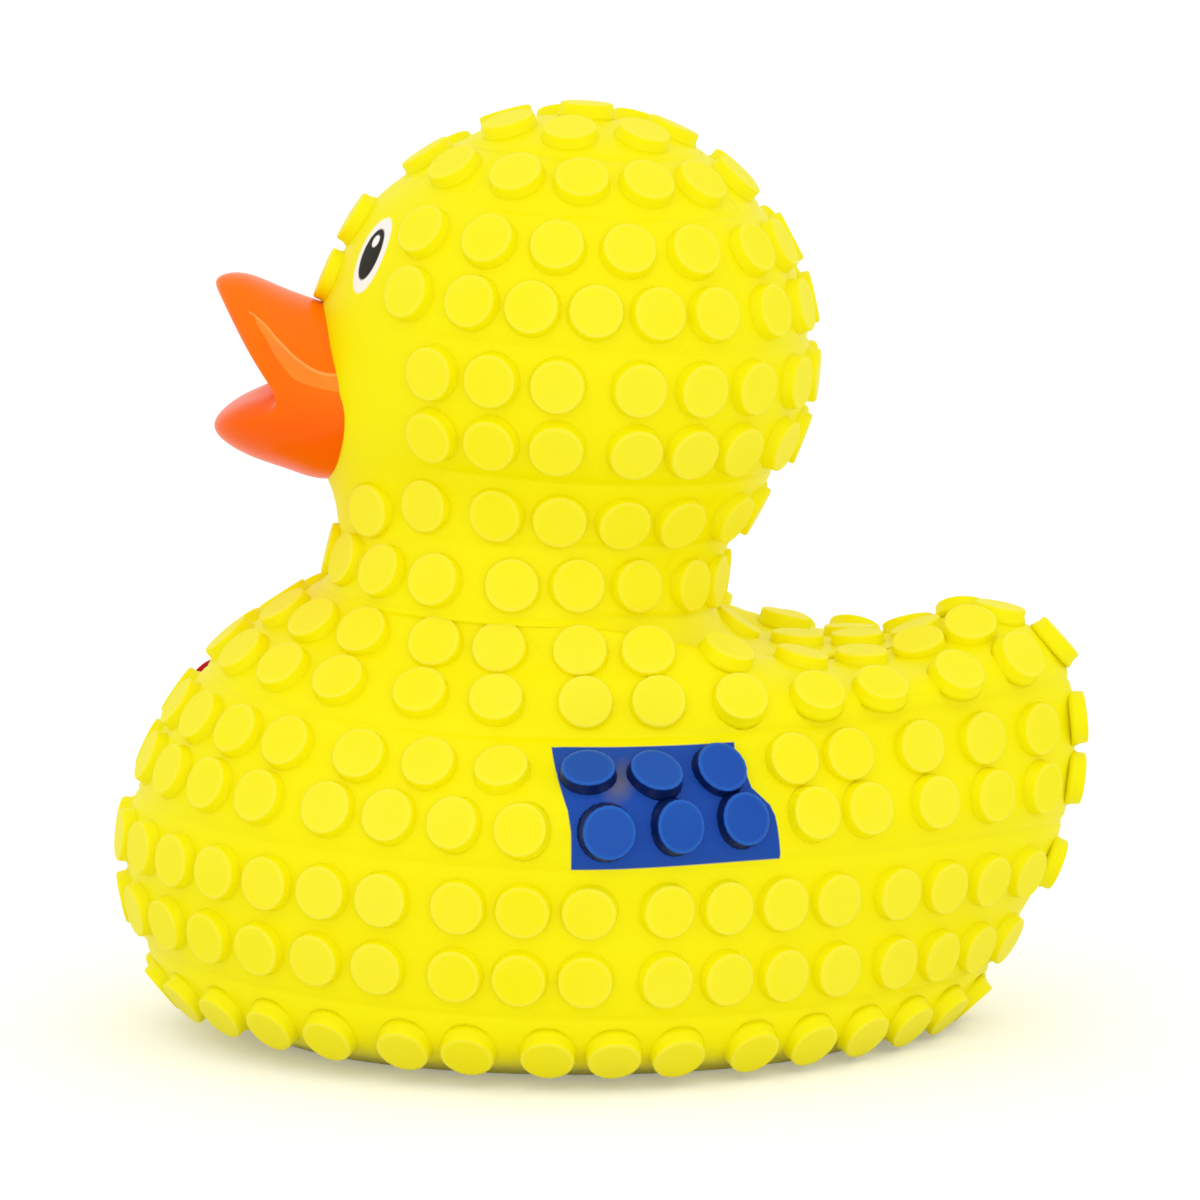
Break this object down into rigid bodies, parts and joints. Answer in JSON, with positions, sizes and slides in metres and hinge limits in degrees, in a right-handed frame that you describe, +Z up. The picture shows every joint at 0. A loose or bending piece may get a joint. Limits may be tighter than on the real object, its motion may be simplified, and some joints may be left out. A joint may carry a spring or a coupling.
{
  "type": "rubber duck",
  "caption": "Hollow vinyl bath duck with a studded, brick-patterned skin, a moulded beak and a flat base with a small vent hole.",
  "frame": {"origin": "on the ground at the centre of the duck's outline seen from above", "axes": "+Z up, +X towards the tail, so the duck faces -X, and -Y is its left flank"},
  "size_m": [0.0865, 0.066, 0.0824],
  "materials": {
    "duck_vinyl": "satin, with painted eyes, beak and two painted bricks"
  },
  "bodies": {
    "root": {"duck_shell": "duck_vinyl"}
  },
  "joints": []
}
